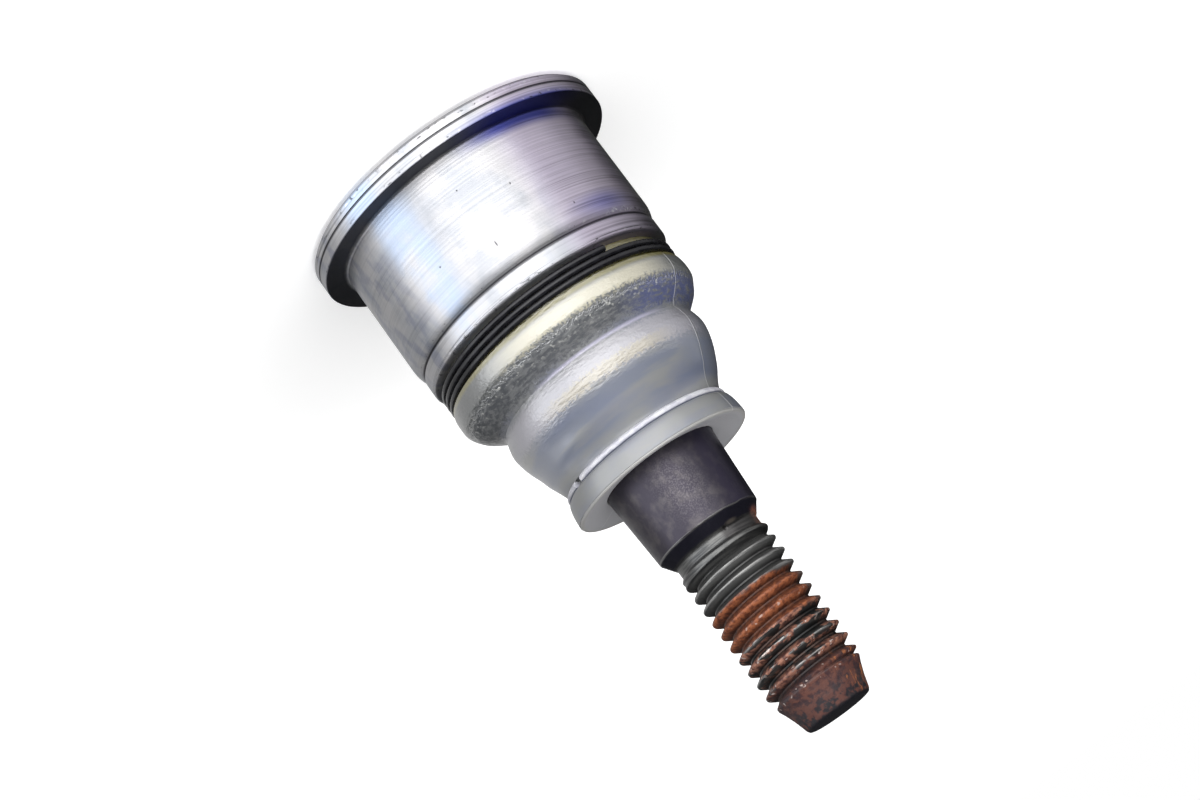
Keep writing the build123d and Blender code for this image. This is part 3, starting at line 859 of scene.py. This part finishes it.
dress(housing_turned, housing_finish())
boot_rubber = rubber_finish()
for fold in boot_pieces:
    dress(fold, boot_rubber)
dress(clamp_wire, cloudy_finish("oiled_black_wire", (0.014, 0.014, 0.018), (0.2, 0.38), 0.3,
                                clouds=(0.7, 1.6, 3.0), shade=0.6, sharpen=(0.35, 0.65),
                                depth=0.03))
dress(lip_wire, lip_wire_finish())
dress(stud_forged, stud_finish())
acetal = cloudy_finish("greased_acetal", (0.8, 0.79, 0.74), (0.34, 0.48), 0.0)
spring_steel = cloudy_finish("spring_steel", (0.08, 0.08, 0.09), (0.34, 0.48), 0.8)
for node, finish in (("cover_plate", cover_finish()), ("disc_spring", spring_steel),
                     ("pressure_seat", acetal), ("ball_seat", acetal),
                     ("lip_insert", spring_steel)):
    dress(frame["nodes"][node], finish)


# ---- floor, light and camera, in metres ----
AIM = Vector((0, 0, 0.04))               # what the lamps and cloths face
SHADOW_NEAR, SHADOW_FAR = 0.03, 0.2      # the floor's glow grows between these distances
GLOW_NEAR, GLOW_FAR = 0.34, 1.0
CAMERA_AT = Vector((0.0, -0.329, 0.125))
CAMERA_RIGHT = Vector((-0.8067, 0.1545, 0.5703))
CAMERA_BACK = Vector((-0.0038, -0.9665, 0.2566))
LENS, SENSOR_WIDTH = 75.54, 36.0         # in millimetres


def sheet(name, size):
    """A flat rectangle that belongs to the stage."""
    bm = bmesh.new()
    bmesh.ops.create_grid(bm, x_segments=1, y_segments=1, size=0.5)
    bmesh.ops.scale(bm, vec=(size[0], size[1], 1.0), verts=bm.verts)
    mesh = bpy.data.meshes.new(name)
    bm.to_mesh(mesh)
    bm.free()
    piece = bpy.data.objects.new(name, mesh)
    bpy.context.scene.collection.objects.link(piece)
    return piece


def glowing(name, matt_grey):
    """Matt surface that also glows; gives the material and the input that sets the glow."""
    made = bpy.data.materials.new(name)
    made.use_nodes = True
    tree = made.node_tree
    tree.nodes.clear()
    matt = add(tree, "BsdfDiffuse", {"Color": rgb(matt_grey, matt_grey, matt_grey)}).outputs[0]
    light = add(tree, "Emission", {"Color": rgb(1, 1, 1)})
    out = tree.nodes.new("ShaderNodeOutputMaterial")
    mixed = add(tree, "AddShader", {0: matt, 1: light.outputs[0]}).outputs[0]
    tree.links.new(mixed, out.inputs[0])
    return made, light.inputs["Strength"]


def floor():
    """White floor that glows less near the object, so the shadow there shows."""
    ground = sheet("floor", (6.0, 6.0))
    ground.location = (0, 0, -0.0004)
    white, glow = glowing("floor_white", 0.8)
    ground.data.materials.append(white)
    tree = white.node_tree
    away = add(tree, "VectorMath", {0: add(tree, "TexCoord").outputs["Object"]},
               operation="LENGTH").outputs["Value"]
    tree.links.new(spread(tree, away, SHADOW_NEAR, SHADOW_FAR, GLOW_NEAR, GLOW_FAR), glow)
    ground.visible_diffuse = False
    ground.visible_glossy = False
    ground.visible_shadow = False


def stand_at(piece, azimuth, elevation, distance):
    """Put a lamp or cloth on a sphere round the object, facing it."""
    a, e = radians(azimuth), radians(elevation)
    at = AIM + distance * Vector((cos(e) * cos(a), cos(e) * sin(a), sin(e)))
    piece.location = at
    piece.rotation_euler = (AIM - at).to_track_quat("-Z", "Y").to_euler()


def softbox(name, azimuth, elevation, distance, size, glow, colour=(1, 1, 1)):
    """A lamp given by how bright its cloth looks."""
    data = bpy.data.lights.new(name, "AREA")
    data.shape = "RECTANGLE"
    data.size, data.size_y = size
    data.energy = glow * pi * size[0] * size[1]
    data.color = colour
    lamp = bpy.data.objects.new(name, data)
    bpy.context.scene.collection.objects.link(lamp)
    stand_at(lamp, azimuth, elevation, distance)
    lamp.visible_camera = False
    return lamp


def card(name, azimuth, elevation, distance, size, brightness):
    """A cloth, dark or grey, that only reflections see."""
    cloth = sheet(name, size)
    material, glow = glowing(name + "_cloth", 0.0)
    glow.default_value = brightness
    cloth.data.materials.append(material)
    stand_at(cloth, azimuth, elevation, distance)
    cloth.visible_camera = False
    cloth.visible_diffuse = False
    cloth.visible_shadow = False


def world():
    """White where it is seen or mirrored, and a soft fill for everything else."""
    made = bpy.data.worlds.new("studio")
    bpy.context.scene.world = made
    made.use_nodes = True
    tree = made.node_tree
    tree.nodes.clear()
    path = add(tree, "LightPath").outputs
    seen = either(tree, path["Is Camera Ray"], path["Is Glossy Ray"], path["Is Transmission Ray"])
    white = add(tree, "Background", {"Color": rgb(1, 1, 1), "Strength": 1.0}).outputs[0]
    fill = add(tree, "Background", {"Color": rgb(1, 1, 1), "Strength": 0.2}).outputs[0]
    out = tree.nodes.new("ShaderNodeOutputWorld")
    tree.links.new(add(tree, "MixShader", {0: seen, 1: fill, 2: white}).outputs[0], out.inputs[0])


def camera():
    """Looks from the front and above, rolled so that the stud points down to the right."""
    data = bpy.data.cameras.new("camera")
    data.lens = LENS
    data.sensor_width = SENSOR_WIDTH
    data.clip_start = 0.01
    viewer = bpy.data.objects.new("camera", data)
    bpy.context.scene.collection.objects.link(viewer)
    right = CAMERA_RIGHT.normalized()
    back = (CAMERA_BACK - right * CAMERA_BACK.dot(right)).normalized()
    turned = Matrix((right, back.cross(right), back)).transposed()
    viewer.matrix_world = Matrix.Translation(CAMERA_AT) @ turned.to_4x4()
    bpy.context.scene.camera = viewer


floor()
world()
softbox("front_box", 266, -14, 0.6, (0.58, 0.75), 2.8)
side_boxes = (softbox("right_box", 226, -14, 0.6, (0.27, 0.75), 1.5),
              softbox("left_box", 321, -14, 0.6, (0.6, 0.75), 1.9, (0.93, 0.96, 1.0)))
for box in side_boxes:                   # only mirrored, as stripes down the metal
    box.visible_diffuse = False
top = softbox("top_box", 262, 62, 0.7, (0.6, 0.6), 4.0)
top.visible_glossy = False
card("ceiling_flag", 90, 89.9, 0.14, (0.9, 0.9), 0.03)
card("right_flag", 120, -8, 0.8, (0.8, 1.8), 0.03)
card("right_card", 160, -8, 0.8, (0.36, 1.8), 0.5)
card("left_card", 50, -8, 0.8, (1.4, 1.8), 0.62)
card("back_flag", 88, 32, 0.6, (1.3, 0.75), 0.02)
camera()
bpy.context.scene.view_settings.view_transform = "Standard"
